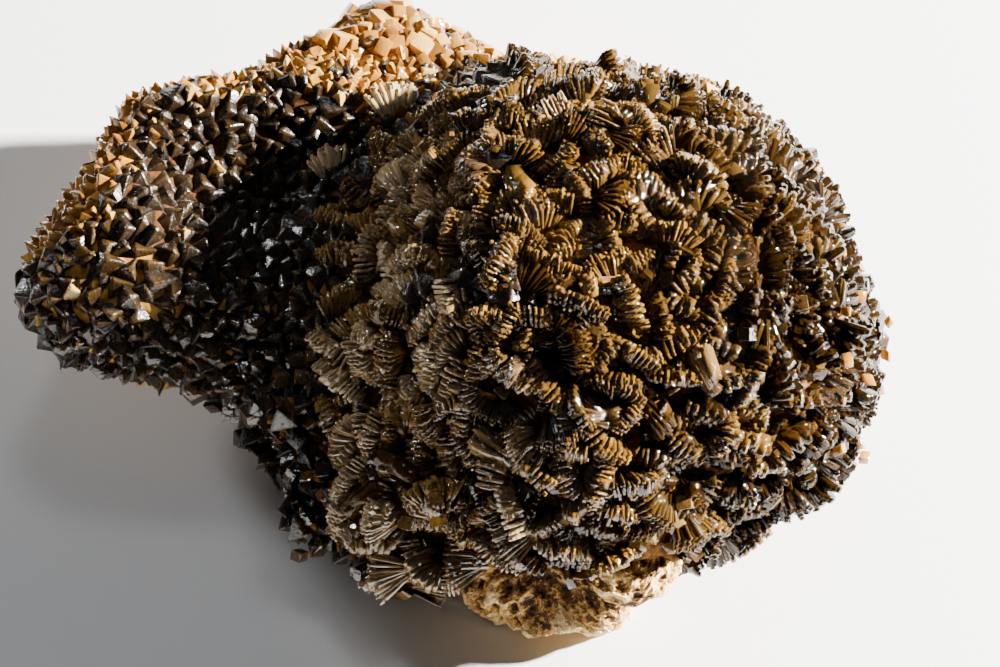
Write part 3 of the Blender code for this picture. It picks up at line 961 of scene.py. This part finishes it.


# %% [markdown]
# ## Calcite
# The crystals are clear brown: light enters, turns amber where it has little way to go and is lost where they
# are thick. Plain transmission and an index of refraction give the gloss and the depth. The colour runs from
# nearly black at the roots to amber at the tips, which paints shade at the roots, down in the gaps, and a
# glow at the tips; it also differs from crystal to crystal. Fine growth lines and ribs roughen the faces.
# There are five finishes of the same mineral: it is painted darker on the sunlit right as painted shade,
# paler and greyer on the shaded left as a painted sheen, satin on the wing, and honey-coloured on the rim as
# a painted glow where light shines through.

# %% Choose the calcite's colours
CLEAR_STOPS = [
    (0.0, (0.0068, 0.0040, 0.0017)),
    (0.25, (0.031, 0.015, 0.0033)),
    (0.5, (0.093, 0.047, 0.0091)),
    (0.75, (0.23, 0.11, 0.017)),
    (1.0, (0.40, 0.23, 0.057)),
]
# Painted shade: the right's colours are darker, where the key light strikes hardest.
RIGHT_PAINTED_SHADE_STOPS = [
    (0.0, (0.0031, 0.0016, 0.0004)),
    (0.25, (0.0085, 0.0036, 0.00059)),
    (0.5, (0.024, 0.010, 0.0016)),
    (0.75, (0.076, 0.034, 0.0048)),
    (1.0, (0.18, 0.093, 0.024)),
]
# Painted sheen: the shaded left's colours are paler and greyer.
PAINTED_SHEEN_STOPS = [
    (0.0, (0.014, 0.010, 0.007)),
    (0.35, (0.075, 0.036, 0.011)),
    (0.7, (0.33, 0.18, 0.055)),
    (1.0, (0.66, 0.47, 0.23)),
]
# Painted glow: the rim's honey colours stand for light shining through thin crystals.
PAINTED_HONEY_GLOW_STOPS = [
    (0.0, (0.030, 0.012, 0.003)),
    (0.4, (0.22, 0.085, 0.012)),
    (0.7, (0.50, 0.22, 0.030)),
    (1.0, (0.78, 0.46, 0.12)),
]
# Painted shade and glow for the crust between the crystals: dark where shade falls, rust and honey where its
# tone paints a glow.
DEPTH_SHADE_AND_GLOW_STOPS = [
    (0.2, (0.010, 0.003, 0.001)),
    (0.5, (0.09, 0.030, 0.005)),
    (0.75, (0.45, 0.22, 0.04)),
    (1.0, (0.75, 0.45, 0.12)),
]
WHITE = (1.0, 1.0, 1.0)
DIM_BROWN = (0.50, 0.41, 0.30)
CALCITE_INDEX = 1.6
print("palest calcite:", CLEAR_STOPS[-1][1], "and on the rim:", PAINTED_HONEY_GLOW_STOPS[-1][1])

# %% Mix the calcite
def calcite(name, rough, through, shine, stops, tint=WHITE):
    """One finish: its roughness, how much light goes through, its gloss, its colours and the gloss's tint."""
    paint = Paint(name)
    place = paint.node("TexCoord", output="Object")
    tone = paint.node("Attribute", {"attribute_name": "tone"}, output="Fac")
    rise = paint.node("Attribute", {"attribute_name": "rise"}, output="Fac")
    frost = paint.node("Attribute", {"attribute_name": "frost"}, output="Fac")
    rib = paint.node("Attribute", {"attribute_name": "rib"}, output="Fac")
    ribs = paint.node("TexNoise", {"noise_dimensions": "1D"}, {"W": rib, "Scale": 1.5, "Detail": 1})
    cloud = paint.node("TexNoise", {}, {"Vector": place, "Scale": 300, "Detail": 1})
    veil = paint.node("TexNoise", {}, {"Vector": place, "Scale": 1700, "Detail": 0})
    facets = paint.node("TexVoronoi", {"distance": "MANHATTAN"}, {"Vector": place, "Scale": 1500}, "Distance")
    # Painted light in the shade: rise paints shade at the roots, down between the crystals, and a glow at the
    # tips; frost pales the frosted faces, partly as frost and partly as a painted glint. Tone and cloud
    # differ from crystal to crystal.
    shade = tone + rise * 0.24 + cloud * 0.36 - 0.17 + frost * veil * 0.12
    colour = paint.node("ValToRGB", {"stops": stops}, {"Fac": shade}, "Color")
    heap = facets * (0.10 + frost * 0.12) + ribs * 0.9
    bump = paint.node("Bump", {}, {"Height": heap, "Distance": 0.0005, "Strength": 0.7}, "Normal")
    paint.set(Base_Color=colour, Roughness=rough + veil * rough + frost * rough, Normal=bump)
    paint.set(Transmission_Weight=through, IOR=CALCITE_INDEX)
    paint.set(Specular_IOR_Level=shine, Specular_Tint=(*tint, 1.0))
    return paint.material


def painted_depths(name):
    """The crust between the crystals, rough and uneven. It is painted dark, as painted shade between the
    crystals, and its tone adds a painted glow.
    """
    paint = Paint(name)
    place = paint.node("TexCoord", output="Object")
    cloud = paint.node("TexNoise", {}, {"Vector": place, "Scale": 500, "Detail": 2})
    tone = paint.node("Attribute", {"attribute_name": "tone"}, output="Fac")
    colour = paint.node("ValToRGB", {"stops": DEPTH_SHADE_AND_GLOW_STOPS}, {"Fac": cloud * 0.7 + tone * 0.6}, "Color")
    bump = paint.node("Bump", {}, {"Height": cloud, "Distance": 0.0006, "Strength": 0.8}, "Normal")
    paint.set(Base_Color=colour, Roughness=0.6 + cloud * 0.3, Normal=bump, Specular_IOR_Level=0.1)
    return paint.material


# Lit and shaded copies of one calcite: the right's finish is painted darker as painted shade, with its gloss
# dimmed by a brown tint; the shaded left's finish is paler and greyer as a painted sheen; the rim's honey
# finish is a painted glow.
crystal = calcite("glassy_calcite", 0.025, 0.52, 0.36, CLEAR_STOPS)
amber = calcite("right_painted_shade_calcite", 0.03, 0.34, 0.16, RIGHT_PAINTED_SHADE_STOPS, DIM_BROWN)
shaded = calcite("painted_sheen_calcite", 0.035, 0.40, 1.0, PAINTED_SHEEN_STOPS)
satin = calcite("satin_calcite", 0.17, 0.50, 0.22, CLEAR_STOPS)
painted_honey_glow = calcite("painted_honey_glow_calcite", 0.05, 0.42, 0.35, PAINTED_HONEY_GLOW_STOPS)
finished = (
    (painted_depths("crust_painted_depths"), (crust,)),
    (satin, (wing_teeth, flank_teeth)),
    (painted_honey_glow, (rim_teeth, rim_blocks, edge_crystals, tall_teeth)),
    (shaded, shaded_fans),
    (amber, right_fans),
    (crystal, (*clear_fans, gap_crystals)),
)
for finish, pieces in finished:
    for piece in pieces:
        piece.data.materials.clear()
        piece.data.materials.append(finish)
        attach(piece, "root")
    print(finish.name + ":", len(pieces), "pieces")
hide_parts("calcite_crystals")

# %% [markdown]
# ## The rock
# The limestone is a crumbly, pitted, cream stone. The imported solid gives its lumps. A finely remeshed copy
# is pushed in and out by textures: broad hollows, grains and pits. Then its near lump is moved a little to
# follow the real one, and a hollow is pressed in where that one is in shade; that hollow is also painted
# darker, as painted shade.

# %% Roughen the rock
ROCK_VOXEL = 0.6
ROCK_SHIFTS = (
    # x and y of the middle in mm, how far it reaches, and how far the rock is moved there in x and in y
    (12, -56, 7, 0.5, 2.4),
    (26, -49, 8, 2.5, -4.5),
    (38, -46, 6, -0.5, 2.5),
)
HOLLOW_DEPTH = 5.0
HOLLOW_MIDDLE = 16
HOLLOW_REACH = 10


def texture(name, kind, size, **settings):
    """A texture whose grains are about size mm across."""
    made = bpy.data.textures.new(name, kind)
    made.noise_scale = size * MM
    for setting, value in settings.items():
        setattr(made, setting, value)
    return made


def pushed_by(piece, name, kind, size, strength, middle, **settings):
    """Moves a piece's surface out and in by up to about strength mm, by one texture."""
    grains = texture(name, kind, size, **settings)
    applied(piece, "DISPLACE", texture=grains, strength=strength * MM, mid_level=middle)


rock = smooth_copy("matrix", "matrix_stone", ROCK_VOXEL, 5)
rock_before = corners_of(rock.data)
rock_facing = facing_of(rock.data)
pushed_by(rock, "hollows", "CLOUDS", 7, 2.0, 0.55, noise_depth=2)
pushed_by(rock, "pits", "VORONOI", 2.6, 2.2, 0.5)
pushed_by(rock, "grains", "CLOUDS", 1.1, 1.1, 0.5, noise_depth=3)
rock_corners = corners_of(rock.data)
pushed = ((rock_corners - rock_before) * rock_facing).sum(axis=1)
deepest, highest = np.percentile(pushed, (5, 95))
pushed = (pushed - deepest) / (highest - deepest)
for x, y, reach, towards_x, towards_y in ROCK_SHIFTS:
    near = np.exp(-((rock_corners[:, 0] - x) ** 2 + (rock_corners[:, 1] - y) ** 2) / reach**2)
    rock_corners[:, 0] += towards_x * near
    rock_corners[:, 1] += towards_y * near
x, y, z = rock_corners.T.copy()
hollow = np.exp(-(((x - HOLLOW_MIDDLE) / HOLLOW_REACH) ** 2))
hollow = hollow * ramp(z - 0.45 * (x - 9), 1.5, 5) * ramp(y, -40, -46)
rock_corners[:, 1] += HOLLOW_DEPTH * hollow
rock_corners[:, 2] = np.maximum(rock_corners[:, 2], 0)
rock.data.vertices.foreach_set("co", (rock_corners * MM).ravel())
# Painted shade: the near lump's hollow is darkened in the colour as well as pressed in.
rock.data.attributes.new("pushed", "FLOAT", "POINT").data.foreach_set("value", pushed - 0.7 * hollow)
rock.data.update()
print("rock:", len(rock.data.polygons), "faces")

# %% [markdown]
# ## The rock's finish
# Its high grains are cream and its pits are nearly black. The colour follows how far each place was pushed
# in, and fine noise breaks it up. The shaded hollow of the near lump is painted darker still, as painted
# shade.

# %% Mix the rock's finish
STONE_STOPS = [
    (0.0, (0.035, 0.014, 0.003)),
    (0.30, (0.16, 0.065, 0.010)),
    (0.55, (0.72, 0.37, 0.075)),
    (0.9, (1.0, 0.72, 0.32)),
]


def limestone(name):
    """Pitted cream stone, brown in its pits."""
    paint = Paint(name)
    place = paint.node("TexCoord", output="Object")
    broad = paint.node("TexNoise", {}, {"Vector": place, "Scale": 110, "Detail": 5})
    fine = paint.node("TexNoise", {}, {"Vector": place, "Scale": 1300, "Detail": 4, "Roughness": 0.75})
    grain = paint.node("TexVoronoi", {}, {"Vector": place, "Scale": 1400}, "Distance")
    pushed = paint.node("Attribute", {"attribute_name": "pushed"}, output="Fac")
    shade = pushed * 0.90 + broad * 0.7 + fine * 2.4 - 1.38
    colour = paint.node("ValToRGB", {"stops": STONE_STOPS}, {"Fac": shade}, "Color")
    heap = fine * 1.5 + grain * 0.6
    bump = paint.node("Bump", {}, {"Height": heap, "Distance": 0.0009, "Strength": 0.9}, "Normal")
    paint.set(Base_Color=colour, Roughness=0.88 + fine * 0.1, Normal=bump)
    return paint.material


rock.data.materials.clear()
rock.data.materials.append(limestone("pale_limestone"))
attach(rock, "root")
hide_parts("matrix")

# %% [markdown]
# ## The table's finish
# A plain pale table, only a little uneven in its gloss.

# %% Finish the table
paper = Paint("pale_table")
place = paper.node("TexCoord", output="Object")
grain = paper.node("TexNoise", {}, {"Vector": place, "Scale": 40, "Detail": 6})
paper.set(Base_Color=(0.90, 0.90, 0.905, 1), Roughness=0.55 + grain * 0.1)
table.data.materials.append(paper.material)
print("table finish:", paper.material.name)
